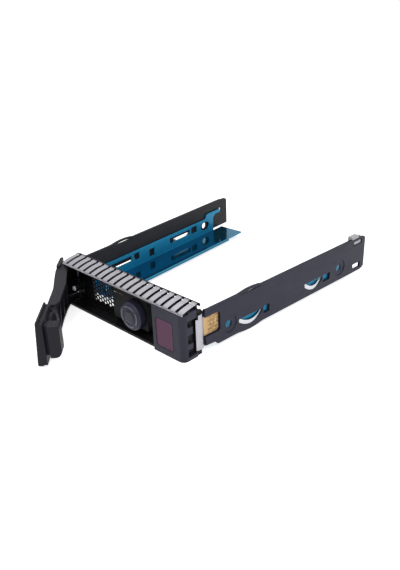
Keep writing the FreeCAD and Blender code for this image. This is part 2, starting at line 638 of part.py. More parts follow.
def drive_rail(side):
    end = WALL_END
    finger_end = end + 8.4
    wall_line = [(WALL_START, SEAT_TOP - RAIL_T), (WALL_START, WALL_TOP), (end - 9.8, WALL_TOP),
                 (end - 8.4, 17.0), (end - 8.0, 18.6), (end - 6.6, 19.4), (finger_end, 19.4),
                 (finger_end, 16.8), (end + 2.6, 16.8), (end + 0.6, 15.0), (end, 13.6),
                 (end, SEAT_TOP - RAIL_T)]
    wall = prism_side(wall_line, PLATE_T, PLATE_T + RAIL_T)
    seat = box(-SEAT_INNER, -PLATE_T, WALL_START + 1.0, SEAT_END, SEAT_TOP - RAIL_T, SEAT_TOP)
    seat = seat.cut(box(-PLATE_T - 1.2, -PLATE_T + 1, WALL_END, SEAT_END + 1, 0, 10))
    lip = box(-SEAT_INNER, -SEAT_INNER + RAIL_T, 40.0, end - 6.0, SEAT_TOP - 2.2,
              SEAT_TOP - RAIL_T)
    rail = join(wall, [seat, lip])
    cuts = []
    for y0, y1 in ((39.0, 57.4), (96.6, 118.6)):
        cuts.append(box(-PLATE_T - 2, -PLATE_T + 1, y0, y1, 9.4, 13.2))
    for y0, y1, z0, z1 in ((60.2, 65.2, 9.2, 13.8), (75.0, 80.2, 6.7, 12.0),
                           (120.2, 126.4, 9.2, 14.0)):
        cuts.append(box(-PLATE_T - 2, -PLATE_T + 1, y0, y1, z0, z1))
    for y in (HOLE_FRONT, HOLE_REAR):
        cuts.append(rod_x(3.0, y - 1.8, HOLE_Z, -PLATE_T - 2, -PLATE_T + 1))
        cuts.append(rod_x(3.0, y + 1.6, HOLE_Z, -PLATE_T - 2, -PLATE_T + 1))
        cuts.append(box(-PLATE_T - 2, -PLATE_T + 1, y - 1.8, y + 1.6, HOLE_Z - 3, HOLE_Z + 3))
    rail = rail.cut(cuts)
    if side < 0:
        # The left finger's end turns outward into the slot of its side plate
        rail = join(rail, [box(-PLATE_T - RAIL_T, -0.6, finger_end - 0.9, finger_end, 16.9, 19.1)])
    return place_rail(rail, side)


def leaf_spring(side, window):
    """Strip of spring sheet that stands on a window's bowed lower edge."""
    y0, y1, z0, z1 = window
    edge = d_outline(y0, y1, z0, z1)[2:]
    lower = [(y, z + TOUCH) for y, z in edge]
    upper = [(y, z + LEAF_H * (z1 - z0)) for y, z in edge]
    strip = prism_side(lower + upper[::-1], LEAF_OUT, LEAF_OUT + STRIP_T)
    ends = [box(-PLATE_T, 0, y0 - 1, y0 + TOUCH, 0, 30), box(-PLATE_T, 0, y1 - TOUCH, y1 + 1, 0, 30)]
    return place_rail(strip.cut(ends), side)


def flex_circuit():
    """Printed circuit from the bezel's light to the rear contact, on the right plate's inside."""
    inner = PLATE_T + 0.3
    end = CADDY_L - 15.2
    window = prism_side([(PLATE_Y - 0.1, 10.2), (26.0, 10.2), (27.2, 11.4), (27.2, 20.4),
                         (26.0, 21.6), (PLATE_Y - 0.1, 21.6)], PLATE_T - 0.3, PLATE_T)
    front = prism_side([(PLATE_Y + 0.6, 16.4), (29.6, 16.4), (31.0, 17.2), (31.0, 21.0),
                        (29.6, 21.6), (PLATE_Y + 0.6, 21.6)], PLATE_T, inner)
    strip = prism_side([(31.0, 17.2), (end - 15.8, 17.2), (end - 12.8, 20.2), (end, 20.2),
                        (end, 23.4), (end - 13.8, 23.4), (end - 16.8, 21.0), (31.0, 21.0)],
                       PLATE_T, inner)
    return place_rail(join(window, [front, strip]), 1)


def rear_contact():
    y0 = CADDY_L - 15.2
    body = box(-PLATE_T - 1.8, -PLATE_T, y0, y0 + 11.8, 20.2, RAIL_TOP)
    saddle = box(-PLATE_T - 1.8, 0.3, y0, y0 + 7.2, RAIL_TOP, RAIL_TOP + 1.7)
    tab = box(-PLATE_T, -0.3, y0 + 3.2, y0 + 10.4, 21.9, 23.9)
    return place_rail(join(body, [saddle, tab]), 1)


def fixing_screw(x, z):
    shank = rod_y(0.9, x, z, PANEL_BACK + 0.4, PAD_BACK + 1.8)
    head = prism_y(hexagon(x, z, 2.0), PAD_BACK + 1.8, PAD_BACK + 2.8)
    return join(shank, [head])


def post_screw():
    shank = rod_y(0.9, POST_X, POST_Z, POST_TIP, 8.8)
    head = rod_y(1.6, POST_X, POST_Z, POST_TIP - 0.7, POST_TIP)
    slot = box(POST_X - 0.3, POST_X + 0.3, POST_TIP - 1, POST_TIP - 0.4,
               POST_Z - 1.2, POST_Z + 1.2)
    return join(shank, [head]).cut(slot)


save(front_bezel(), "front_bezel")
save(end_block(), "end_block")
save(release_button(), "release_button")
save(button_spring(), "button_spring")
save(indicator_drum(), "indicator_drum")
save(indicator_ring(), "indicator_ring")
save(indicator_cap(), "indicator_cap")
save(status_light_pipe(), "status_light_pipe")
save(led_board(), "led_board")
save(ejector_lever(), "ejector_lever")
save(lever_pin(), "lever_pin")
save(lever_spring(), "lever_spring")
save(emi_gasket(), "emi_gasket")
save(flex_circuit(), "flex_circuit")
save(rear_contact(), "rear_contact")
save(post_screw(), "post_screw")
for side, word in ((1, "right"), (-1, "left")):
    save(side_plate(side), "side_plate_" + word)
    save(drive_rail(side), "drive_rail_" + word)
    save(side_ground_spring(side), "ground_spring_" + word)
    save(leaf_spring(side, WINDOWS[0]), "leaf_spring_" + word + "_front")
    save(leaf_spring(side, WINDOWS[1]), "leaf_spring_" + word + "_rear")
    for z, level in zip(SCREW_Z, ("low", "high")):
        save(fixing_screw(side * SCREW_X, z), "bezel_screw_" + word + "_" + level)
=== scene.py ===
import json
import math

import bmesh
import bpy
from mathutils import Matrix, Vector


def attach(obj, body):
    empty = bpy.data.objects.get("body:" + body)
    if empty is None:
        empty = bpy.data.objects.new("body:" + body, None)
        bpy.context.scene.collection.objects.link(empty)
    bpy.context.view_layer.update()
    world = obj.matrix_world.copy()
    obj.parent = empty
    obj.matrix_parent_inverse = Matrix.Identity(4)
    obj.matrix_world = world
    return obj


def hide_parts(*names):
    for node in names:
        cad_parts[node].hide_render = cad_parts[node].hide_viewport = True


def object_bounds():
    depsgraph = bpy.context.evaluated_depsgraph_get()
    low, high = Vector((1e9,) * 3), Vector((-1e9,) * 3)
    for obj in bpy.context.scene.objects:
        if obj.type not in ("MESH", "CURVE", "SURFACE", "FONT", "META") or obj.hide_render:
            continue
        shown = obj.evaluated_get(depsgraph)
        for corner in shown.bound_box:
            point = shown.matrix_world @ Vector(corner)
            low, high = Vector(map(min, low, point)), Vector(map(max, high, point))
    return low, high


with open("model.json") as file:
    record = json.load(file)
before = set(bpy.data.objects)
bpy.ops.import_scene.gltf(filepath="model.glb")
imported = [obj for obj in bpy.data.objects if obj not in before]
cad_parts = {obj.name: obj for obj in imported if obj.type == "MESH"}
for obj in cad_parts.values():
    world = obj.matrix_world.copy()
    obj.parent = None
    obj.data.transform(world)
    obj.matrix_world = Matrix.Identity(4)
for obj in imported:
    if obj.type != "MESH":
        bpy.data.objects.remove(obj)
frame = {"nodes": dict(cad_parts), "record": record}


CAD_BOX = [list(corner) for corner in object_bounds()]
NODES = frame["nodes"]
RECORD = frame["record"]
BODY_OF = {node: body for body, nodes in RECORD["behaviour"]["bodies"].items() for node in nodes}
SLOT_OF = {part["node"]: part["material_slot"] for part in RECORD["subparts"]}
MM = 0.001

# Camera, fitted to the photograph
YAW, PITCH, ROLL = 0.7832339604, 0.4597491211, -0.0392509087
CAMERA_AT = (0.2702, -0.2098, 0.1939)
LENS = 41.36
SENSOR = 36.0

# Edges that turn by more than SHARP are softened, once points closer than WELD are joined
SHARP = math.radians(32)
WELD = 0.002 * MM
EDGE_WIDTH = {
    "end_block": 0.22 * MM, "release_button": 0.2 * MM, "ejector_lever": 0.2 * MM,
    "indicator_drum": 0.25 * MM, "indicator_cap": 0.08 * MM, "indicator_ring": 0.06 * MM,
    "front_bezel": 0.1 * MM, "side_plate_right": 0.14 * MM, "side_plate_left": 0.14 * MM,
    "drive_rail_right": 0.1 * MM, "drive_rail_left": 0.1 * MM, "rear_contact": 0.2 * MM,
}

# Close-set curves on these would throw corners outwards if the bevel weren't held back
HELD_BACK = ("ejector_lever", "end_block", "release_button")

# Post screw: its profile and cross recess are shares of the head's radius and height
SCREW_SIDES = 40
SCREW_HEIGHT = 0.7 * MM
SCREW_PROFILE = [(0.45, 2.6), (0.45, 1.0), (1.0, 1.0), (1.0, 0.45), (0.94, 0.2), (0.8, 0.05),
                 (0.62, 0.0)]
CROSS_MOUTH = {"reach": 0.5, "half": 0.12}
CROSS_FLOOR = {"reach": 0.3, "half": 0.08}
CROSS_DEPTH = 0.7

# Small parts on the light board's rear face
BOARD_THICK = 1.2 * MM
BOARD_ROWS = 2
BOARD_COLUMNS = 5
BOARD_FIRST = (2.4 * MM, 1.6 * MM)
BOARD_PITCH = (2.7 * MM, 2.0 * MM)
BOARD_PART = Vector((1.6, 0.5, 0.8)) * MM
BOARD_END = 0.22       # each bright end as a share of a part's length

# Finger strip: its lines are millimetres to the rear and up from the strip's lower front edge
FINGERS = 19
FINGER_GAP = 0.36      # slot between two fingers as a share of their pitch
STRIP_THICK = 0.25 * MM
CARRIER_LINE = [(0.0, 0.0), (0.2, 0.5), (0.35, 0.85)]
FINGER_LINE = [(0.2, 0.5), (0.35, 0.85), (0.8, 1.1), (1.6, 1.4), (2.9, 1.72), (4.9, 2.2),
               (6.9, 2.56), (8.6, 2.76), (9.9, 2.84), (10.9, 3.0), (11.5, 3.38), (12.1, 3.5),
               (12.6, 3.4)]

# Windows for leaf springs: start and end along a rail, sill and top, in millimetres
WINDOWS = {"front": (42.4, 62.0, 4.3, 10.2), "rear": (101.0, 118.4, 5.0, 11.3)}
RAIL_TURN = math.radians(3.27)
LEAF_STEPS = 24
LEAF_THICK = 0.35 * MM
LEAF_DEPTH = 0.95 * MM       # from the plate's outer face to the ends
LEAF_BOW = 0.7 * MM          # how far the middle comes outwards from the ends
LEAF_END_GAP = 0.03 * MM
LEAF_SILL_GAP = 0.06 * MM
LEAF_TOP_GAP = 0.1 * MM
LEAF_END_DROP = 0.35         # from the window's top to the ends' lower edge, as a share
LEAF_TALL = 0.5              # height at the front end, as a share of the window's height
LEAF_TAPER = 0.22            # what that share loses on the way to the rear end

# Seam round the button's tile
TILE_FACE = 0.1 * MM         # what lies this close behind the foremost point is the face
SEAM_PLAY = 0.03 * MM
SEAM_WIDTH = 0.42 * MM
SEAM_INNER_RADIUS = 1.5 * MM
SEAM_OUTER_RADIUS = 1.9 * MM
SEAM_PROUD = 0.03 * MM
SEAM_THICK = 0.15 * MM
CORNER_STEPS = 5

# Below this height a rail's folded lip is painted darker, as painted shade
LIP_TOP = 4.0 * MM

# Lamps: place, aim, size in metres and power in watts
LAMPS = {
    "key": ((0.25, -0.45, 0.9), (0, 0.05, 0), (0.8, 0.8), 5.2),
    "side": ((0.95, 0.25, 0.45), (0.05, 0.05, 0), (0.7, 0.5), 2.4),
    "back": ((-0.3, 0.5, 1.0), (0, 0.05, 0), (0.9, 0.5), 2.4),
}
WORLD_LIGHT = 0.42           # strength as light on the object, while the camera sees full white
FLOOR_HALF = 3.0
FLOOR_DROP = 0.05 * MM
FLOOR_GLOW = 0.7


def world_points(node):
    """Vertices of a CAD node as it stands in the frame."""
    obj = NODES[node]
    return [obj.matrix_world @ v.co for v in obj.data.vertices]


def box_of(points):
    """Lower and upper corner round some points."""
    low = Vector([min(p[i] for p in points) for i in range(3)])
    high = Vector([max(p[i] for p in points) for i in range(3)])
    return low, high


def node_box(node):
    return box_of(world_points(node))


# Left and right end of the front and its foremost face, as the frame has them
FRONT_LEFT = node_box("front_bezel")[0].x
FRONT_RIGHT = node_box("end_block")[1].x
FRONT_FACE = node_box("end_block")[0].y


def make_camera():
    forward = Vector((-math.sin(YAW) * math.cos(PITCH), math.cos(YAW) * math.cos(PITCH),
                      -math.sin(PITCH)))
    level = Vector((math.cos(YAW), math.sin(YAW), 0.0))
    up = level.cross(forward)
    right = level * math.cos(ROLL) + up * math.sin(ROLL)
    up = up * math.cos(ROLL) - level * math.sin(ROLL)
    data = bpy.data.cameras.new("camera")
    data.lens = LENS
    data.sensor_width = SENSOR
    data.clip_start = 0.01
    data.clip_end = 20.0
    camera = bpy.data.objects.new("camera", data)
    bpy.context.scene.collection.objects.link(camera)
    turn = Matrix((right, up, -forward)).transposed()
    camera.matrix_world = Matrix.Translation(CAMERA_AT) @ turn.to_4x4()
    bpy.context.scene.camera = camera


make_camera()


# Colours and shader nodes for the procedural materials
def srgb(r, g, b):
    """Linear colour from 8-bit screen values."""
    def one(c):
        c /= 255
        return c / 12.92 if c <= 0.04045 else ((c + 0.055) / 1.055) ** 2.4
    return (one(r), one(g), one(b), 1.0)


# Inner faces of the side plates: painted shade, darker than the satin outside
PAINTED_SHADE_INSIDE = srgb(19, 19, 25)
SATIN_OUT = srgb(38, 38, 55)
WORN_SHEET = srgb(96, 97, 106)
WORN_BLUE = srgb(96, 170, 196)


def toned(colour, factor, lift=0.0):
    """A colour made darker or lighter."""
    return tuple(min(1.0, c * factor + lift) for c in colour[:3]) + (1.0,)


class Material:
    """A new material, with short calls for the shader nodes that feed it."""

    def __init__(self, name):
        self.mat = bpy.data.materials.new(name)
        self.mat.use_nodes = True
        self.tree = self.mat.node_tree
        self.shader = self.tree.nodes["Principled BSDF"]
        self.place = self.tree.nodes.new("ShaderNodeTexCoord").outputs["Object"]

    def new(self, kind, **values):
        node = self.tree.nodes.new(kind)
        for key, value in values.items():
            if key in node.inputs:
                node.inputs[key].default_value = value
            else:
                setattr(node, key, value)
        return node

    def feed(self, target, value):
        """Link a socket to another one, or set it to a plain value."""
        if hasattr(value, "default_value"):
            self.tree.links.new(value, target)
        else:
            target.default_value = value

    def put(self, socket, value):
        self.feed(self.shader.inputs[socket], value)

    def noise(self, scale, detail=3.0, rough=0.55, stretch=None):
        """Noise from 0 to 1, with its scale in cells to the metre."""
        node = self.new("ShaderNodeTexNoise", Scale=scale, Detail=detail, Roughness=rough)
        place = self.place
        if stretch:
            mapping = self.new("ShaderNodeMapping", Scale=stretch)
            self.feed(mapping.inputs["Vector"], place)
            place = mapping.outputs["Vector"]
        self.feed(node.inputs["Vector"], place)
        return node.outputs["Fac"]

    def brick(self, scale, mortar, colours, turn, offset=0.5):
        """Rows of bricks in two colours with a third between them, turned to the face they are on."""
        node = self.new("ShaderNodeTexBrick", Scale=scale, offset=offset)
        node.inputs["Mortar Size"].default_value = mortar
        for socket, colour in zip(("Color1", "Color2", "Mortar"), colours):
            node.inputs[socket].default_value = colour
        mapping = self.new("ShaderNodeMapping", Rotation=turn)
        self.feed(mapping.inputs["Vector"], self.place)
        self.feed(node.inputs["Vector"], mapping.outputs["Vector"])
        return node

    def span(self, value, low, high, start=0.3, end=0.7):
        """Low up to a starting value, high from an end value on, and a slope between them."""
        node = self.new("ShaderNodeMapRange")
        node.inputs["From Min"].default_value = start
        node.inputs["From Max"].default_value = end
        node.inputs["To Min"].default_value = low
        node.inputs["To Max"].default_value = high
        self.feed(node.inputs["Value"], value)
        return node.outputs["Result"]

    def mix(self, factor, a, b):
        node = self.new("ShaderNodeMix", data_type="RGBA")
        for socket, value in (("Factor", factor), ("A", a), ("B", b)):
            target = [s for s in node.inputs if s.name == socket
                      and (s.type == "RGBA" or socket == "Factor")][0]
            self.feed(target, value)
        return [s for s in node.outputs if s.type == "RGBA"][0]

    def axis(self, value, index):
        """One component of a vector."""
        split = self.new("ShaderNodeSeparateXYZ")
        self.feed(split.inputs[0], value)
        return split.outputs[index]

    def facing(self, index):
        """One component of the direction that the surface faces."""
        return self.axis(self.new("ShaderNodeNewGeometry").outputs["Normal"], index)

    def join(self, operation, a, b):
        """Sum, product or the like of two values."""
        node = self.new("ShaderNodeMath", operation=operation)
        self.feed(node.inputs[0], a)
        self.feed(node.inputs[1], b)
        return node.outputs["Value"]

    def scaled(self, colour, factor):
        """A colour times a value."""
        node = self.new("ShaderNodeVectorMath", operation="SCALE")
        self.feed(node.inputs[0], colour)
        self.feed(node.inputs["Scale"], factor)
        return node.outputs["Vector"]

    def steps(self, value, colours):
        """Bands of flat colour over a value from 0 to 1."""
        node = self.new("ShaderNodeValToRGB")
        ramp = node.color_ramp
        ramp.interpolation = "CONSTANT"
        ramp.elements[0].color = colours[0]
        ramp.elements[1].position = 1 / len(colours)
        ramp.elements[1].color = colours[1]
        for i in range(2, len(colours)):
            ramp.elements.new(i / len(colours)).color = colours[i]
        self.feed(node.inputs["Fac"], value)
        return node.outputs["Color"]

    def edge_mask(self, radius):
        """1 on outer edges and 0 on flats, from how far a rounded normal turns."""
        bevel = self.new("ShaderNodeBevel", Radius=radius, samples=6)
        flat = self.new("ShaderNodeNewGeometry")
        dot = self.new("ShaderNodeVectorMath", operation="DOT_PRODUCT")
        self.feed(dot.inputs[0], bevel.outputs["Normal"])
        self.feed(dot.inputs[1], flat.outputs["Normal"])
        return self.span(dot.outputs["Value"], 1.0, 0.0, 0.80, 0.995)

    def worn(self, body, colour, radius, patches):
        """Body colour with its outer edges worn paler in patches."""
        scuff = self.join("MULTIPLY", self.edge_mask(radius), patches)
        self.put("Base Color", self.mix(scuff, body, colour))

    def bump(self, height, distance, strength, bevel=0.0):
        node = self.new("ShaderNodeBump", Strength=strength, Distance=distance)
        self.feed(node.inputs["Height"], height)
        if bevel:
            rounded = self.new("ShaderNodeBevel", Radius=bevel, samples=4)
            self.feed(node.inputs["Normal"], rounded.outputs["Normal"])
        self.put("Normal", node.outputs["Normal"])


def moulded(name, colour, rough, spread=0.12, wear=0.25, specular=0.4):
    """Matte moulded plastic: fine spark-eroded grain, faint cloudiness, paler worn edges."""
    m = Material(name)
    cloud = m.span(m.noise(90.0, 4.0), 0.0, 1.0)
    body = m.mix(cloud, toned(colour, 1 - spread), toned(colour, 1 + spread))
    patches = m.span(m.noise(900.0, 5.0, 0.7), 0.0, wear * 2, 0.35, 0.7)
    m.worn(body, toned(colour, 1.5, 0.012), 0.35 * MM, patches)
    m.put("Roughness", m.span(m.noise(1400.0), rough - 0.06, rough + 0.08))
    m.put("Specular IOR Level", specular)
    m.bump(m.noise(5200.0, 2.0, 0.6), 0.02 * MM, 0.6, bevel=0.18 * MM)
    return m.mat


def metal(name, colour, rough, stretch=(1, 1, 1), scale=1500.0, metallic=1.0):
    """Sheet metal with a fine mottle, drawn out to lines where it is stretched one way."""
    m = Material(name)
    lines = m.noise(scale, 4.0, 0.6, stretch)
    m.put("Base Color", m.mix(m.span(lines, 0.0, 1.0), toned(colour, 0.92), toned(colour, 1.08)))
    m.put("Roughness", m.span(m.noise(scale / 3, 3.0, 0.6, stretch), rough - 0.07, rough + 0.09))
    m.put("Metallic", metallic)
    m.bump(lines, 0.01 * MM, 0.5, bevel=0.1 * MM)
    return m.mat


def sheet_black(name, outside, inside, inward):
    """Satin black sheet: faint drawn lines, paler worn edges, and a darker face inside, which is
    painted shade.
    """
    m = Material(name)
    # Faces turned inwards take the inside colour, which is painted shade
    side = m.span(m.facing(0), 0.0, 1.0, -0.5 * inward, 0.5 * inward)
    cloud = m.span(m.noise(60.0, 5.0), 0.86, 1.14)
    body = m.scaled(m.mix(side, outside, inside), cloud)
    patches = m.span(m.noise(700.0, 5.0, 0.7), 0.0, 0.6, 0.4, 0.75)
    m.worn(body, WORN_SHEET, 0.2 * MM, patches)
    m.put("Roughness", m.span(m.noise(400.0, 4.0, 0.6, (1.0, 0.12, 1.0)), 0.36, 0.48))
    m.put("Specular IOR Level", 0.18)
    m.bump(m.noise(2600.0, 3.0, 0.6), 0.012 * MM, 0.5, bevel=0.12 * MM)
    return m.mat


def plated(name, flat, upright, rough_flat, rough_upright):
    """Blue plated sheet: the shelf is nearly a mirror and the upright web is rolled satin."""
    m = Material(name)
    level = m.join("MULTIPLY", m.facing(2), m.facing(2))
    # Painted shade: the blue darkens below LIP_TOP
    lip = m.span(m.axis(m.place, 2), 0.55, 1.0, LIP_TOP - MM, LIP_TOP)
    cloud = m.join("MULTIPLY", m.span(m.noise(38.0, 4.0), 0.88, 1.12), lip)
    body = m.scaled(m.mix(m.span(level, 0.0, 1.0, 0.3, 0.8), upright, flat), cloud)
    patches = m.span(m.noise(700.0, 5.0, 0.7), 0.1, 0.8, 0.4, 0.75)
    m.worn(body, WORN_BLUE, 0.16 * MM, patches)
    lines = m.span(m.noise(900.0, 4.0, 0.6, (1.0, 0.05, 1.0)), -0.04, 0.06)
    m.put("Roughness", m.join("ADD", m.span(level, rough_upright, rough_flat, 0.3, 0.8), lines))
    m.put("Metallic", m.span(level, 0.5, 0.88, 0.3, 0.8))
    m.bump(m.noise(1500.0, 2.0, 0.5, (1.0, 0.04, 1.0)), 0.003 * MM, 0.4, bevel=0.1 * MM)
    return m.mat


def film(name):
    """Gold-brown printed film with rows of paler pads and copper traces."""
    m = Material(name)
    colours = (srgb(138, 98, 50), srgb(166, 127, 74), srgb(194, 158, 104))
    brick = m.brick(210.0, 0.05, colours, (math.pi / 2, 0, math.pi / 2))
    spots = m.span(m.noise(520.0), 0.0, 0.8, 0.52, 0.6)
    m.put("Base Color", m.mix(spots, brick.outputs["Color"], srgb(202, 170, 122)))
    m.put("Roughness", m.span(m.noise(600.0), 0.28, 0.45))
    m.put("Metallic", 0.3)
    m.bump(brick.outputs["Fac"], 0.03 * MM, 0.5)
    return m.mat


def light_row(name, node):
    """Light guide whose four windows look white, red, grey and dark in turn."""
    m = Material(name)
    low, high = node_box(node)
    along = m.span(m.axis(m.place, 0), 0.0, 1.0, low.x, high.x)
    colours = (srgb(214, 210, 206), srgb(128, 74, 62), srgb(96, 92, 94), srgb(58, 57, 62))
    m.put("Base Color", m.steps(along, colours))
    m.put("Roughness", m.span(m.noise(2500.0), 0.2, 0.4))
    m.bump(m.noise(4000.0), 0.01 * MM, 0.4)
    return m.mat


def board(name):
    """Green circuit board with paler tracks."""
    m = Material(name)
    colours = (srgb(16, 58, 40), srgb(20, 66, 46), srgb(46, 104, 74))
    brick = m.brick(160.0, 0.03, colours, (math.pi / 2, 0, 0), offset=0.37)
    m.put("Base Color", brick.outputs["Color"])
    m.put("Roughness", m.span(m.noise(900.0), 0.3, 0.5))
    m.bump(brick.outputs["Fac"], 0.03 * MM, 0.4)
    return m.mat


# Materials by their slot in the record
MATS = {
    "bezel_black": moulded("bezel_black", srgb(12, 11, 14), 0.5, specular=0.16),
    "block_grey": moulded("block_grey", srgb(36, 36, 51), 0.5, specular=0.26),
    "tile_maroon": moulded("tile_maroon", srgb(88, 52, 78), 0.5, 0.05, 0.1, specular=0.22),
    "lever_dark": moulded("lever_dark", srgb(24, 24, 32), 0.5, specular=0.18),
    "disc_grey": moulded("disc_grey", srgb(41, 41, 58), 0.4, specular=0.28),
    "ring_clear": moulded("ring_clear", srgb(78, 80, 98), 0.3, specular=0.4),
    "light_pipe": light_row("light_pipe", "status_light_pipe"),
    "board_green": board("board_green"),
    "spring_steel": metal("spring_steel", srgb(196, 196, 202), 0.3),
    "finger_silver": metal("finger_silver", srgb(166, 164, 171), 0.36, (1.0, 0.1, 1.0), 2600.0),
    "contact_gold": film("contact_gold"),
    "rail_blue": plated("rail_blue", srgb(4, 105, 138), srgb(3, 122, 162), 0.11, 0.4),
    "contact_grey": moulded("contact_grey", srgb(168, 168, 171), 0.42),
}

# Materials of single nodes that look different from the others of their slot
OWN_MATS = {
    "post_screw": metal("screw_bright", srgb(240, 240, 244), 0.5, metallic=0.35),
    "lever_spring": metal("spring_dark", srgb(70, 70, 76), 0.4),
    "lever_pin": metal("pin_dark", srgb(80, 80, 86), 0.4),
    "side_plate_right": sheet_black("plate_dark_right", SATIN_OUT, PAINTED_SHADE_INSIDE, -1),
    "side_plate_left": sheet_black("plate_dark_left", SATIN_OUT, PAINTED_SHADE_INSIDE, 1),
}


def material_of(node):
    return OWN_MATS.get(node) or MATS[SLOT_OF[node]]


def new_mesh(name, points, faces):
    mesh = bpy.data.meshes.new(name)
    mesh.from_pydata(points, [], faces)
    return mesh


def add_piece(mesh, material, body="base"):
    """Stand a mesh in the scene as a visible piece of one body."""
    mesh.materials.append(material)
    piece = bpy.data.objects.new(mesh.name, mesh)
    bpy.context.scene.collection.objects.link(piece)
    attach(piece, body)
    return piece


def stand_in(mesh, node):
    """Put a mesh in a CAD node's place, with that node's material and body."""
    piece = add_piece(mesh, material_of(node), BODY_OF[node])
    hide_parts(node)
    return piece


# The CAD meshes with their edges softened, one piece for each node that shows
def clean_mesh(node, name):
    source = NODES[node].data
    mesh = new_mesh(name, [v.co.copy() for v in source.vertices],
                    [list(p.vertices) for p in source.polygons])
    bm = bmesh.new()
    bm.from_mesh(mesh)
    bmesh.ops.remove_doubles(bm, verts=bm.verts, dist=WELD)
    for face in bm.faces:
        face.smooth = True
    for edge in bm.edges:
        edge.smooth = len(edge.link_faces) == 2 and edge.calc_face_angle(0.0) < SHARP
    bm.to_mesh(mesh)
    bm.free()
    return mesh


def soften(node, width):
    piece = stand_in(clean_mesh(node, "soft_" + node), node)
    bevel = piece.modifiers.new("edge", "BEVEL")
    bevel.width = width
    bevel.segments = 2
    bevel.limit_method = "ANGLE"
    bevel.angle_limit = SHARP
    bevel.use_clamp_overlap = node in HELD_BACK
    normals = piece.modifiers.new("normals", "WEIGHTED_NORMAL")
    normals.keep_sharp = False


# Pieces of the scene's own
def cross_outline(radius, reach, half):
    """Twelve corners of a cross recess, going round once."""
    quarter = [(reach, -half), (reach, half), (half, half)]
    points = []
    for turn in range(4):
        c = math.cos(math.pi / 2 * turn)
        s = math.sin(math.pi / 2 * turn)
        points += [(radius * (u * c - v * s), radius * (u * s + v * c)) for u, v in quarter]
    return points


def screw_head(name, at, radius, height):
    """Domed head facing the front with a tapered cross recess, and a short shank behind it."""
    bm = bmesh.new()

    def ring(outline, y):
        return [bm.verts.new((at.x + u, at.y + y, at.z + v)) for u, v in outline]

    def circle(r):
        turns = [2 * math.pi * k / SCREW_SIDES for k in range(SCREW_SIDES)]
        return [(r * math.cos(a), r * math.sin(a)) for a in turns]

    def wall(a, b):
        for k in range(len(a)):
            bm.faces.new((a[k], a[k - 1], b[k - 1], b[k]))

    rings = [ring(circle(radius * r), height * y) for r, y in SCREW_PROFILE]
    for a, b in zip(rings, rings[1:]):
        wall(a, b)
    bm.faces.new(rings[0])
    mouth = ring(cross_outline(radius, **CROSS_MOUTH), 0.0)
    bottom = ring(cross_outline(radius, **CROSS_FLOOR), CROSS_DEPTH * height)
    wall(mouth, bottom)
    bm.faces.new(bottom)
    borders = [bm.edges.get((loop[k], loop[k - 1])) for loop in (rings[-1], mouth)
               for k in range(len(loop))]
    bmesh.ops.triangle_fill(bm, edges=borders, use_beauty=True)
    bmesh.ops.recalc_face_normals(bm, faces=bm.faces)
    mesh = bpy.data.meshes.new(name)
    bm.to_mesh(mesh)
    bm.free()
    return mesh


def dress_post_screw():
    low, high = node_box("post_screw")
    at = Vector(((low.x + high.x) / 2, low.y, (low.z + high.z) / 2))
    mesh = screw_head("post_screw_head", at, (high.x - low.x) / 2, SCREW_HEIGHT)
    stand_in(mesh, "post_screw")


def add_box(name, a, b, slot):
    points = [(x, y, z) for x in (a.x, b.x) for y in (a.y, b.y) for z in (a.z, b.z)]
    faces = [(0, 1, 3, 2), (4, 6, 7, 5), (0, 4, 5, 1), (2, 3, 7, 6), (0, 2, 6, 4), (1, 5, 7, 3)]
    add_piece(new_mesh(name, points, faces), MATS[slot])


def dress_board():
    """Rows of small parts on the light board's rear face, each with two bright ends."""
    low, high = node_box("led_board")
    lengths = (("body", BOARD_END, 1 - BOARD_END, "bezel_black"),
               ("end_a", 0.0, BOARD_END, "spring_steel"),
               ("end_b", 1 - BOARD_END, 1.0, "spring_steel"))
    for row in range(BOARD_ROWS):
        for column in range(BOARD_COLUMNS):
            at = Vector((low.x + BOARD_FIRST[0] + BOARD_PITCH[0] * column, low.y + BOARD_THICK,
                         high.z - BOARD_FIRST[1] - BOARD_PITCH[1] * row))
            for part, start, end, slot in lengths:
                a = at + Vector((BOARD_PART.x * start, 0, 0))
                b = at + Vector((BOARD_PART.x * end, BOARD_PART.y, BOARD_PART.z))
                add_box("board_part_%d_%d_%s" % (row, column, part), a, b, slot)


def strip_outline(line, thickness):
    """Closed (y, z) outline of a thin sheet whose upper side follows a line."""
    under = []
    for k, (y, z) in enumerate(line):
        y0, z0 = line[max(k - 1, 0)]
        y1, z1 = line[min(k + 1, len(line) - 1)]
        length = math.hypot(y1 - y0, z1 - z0)
        under.append((y + (z1 - z0) / length * thickness, z - (y1 - y0) / length * thickness))
    return line + under[::-1]


def dress_gasket():
    """The finger strip, with bowed fingers whose free ends lie on the comb's lip."""
    low, high = node_box("emi_gasket")
    pitch = (FRONT_RIGHT - FRONT_LEFT) / FINGERS
    points = []
    faces = []

    def strip(line, x0, x1):
        outline = strip_outline([(low.y + y * MM, low.z + z * MM) for y, z in line], STRIP_THICK)
        first = len(points)
        count = len(outline)
        points.extend((x, y, z) for x in (x0, x1) for y, z in outline)
        faces.append(tuple(first + k for k in range(count)))
        faces.append(tuple(first + count + k for k in reversed(range(count))))
        for k in range(count):
            after = (k + 1) % count
            faces.append((first + after, first + k, first + count + k, first + count + after))

    strip(CARRIER_LINE, low.x, high.x)
    for i in range(FINGERS):
        x0 = max(FRONT_LEFT + (i + FINGER_GAP / 2) * pitch, low.x)
        x1 = min(FRONT_LEFT + (i + 1 - FINGER_GAP / 2) * pitch, high.x)
        strip(FINGER_LINE, x0, x1)
    stand_in(new_mesh("gasket_fingers", points, faces), "emi_gasket")


def on_rail(side, depth, y, z):
    """Point of a side rail from its depth behind the outer face, its length and its height."""
    c = math.cos(RAIL_TURN)
    s = math.sin(RAIL_TURN)
    return (side * (FRONT_RIGHT - depth * c + y * s), FRONT_FACE + depth * s + y * c, z)


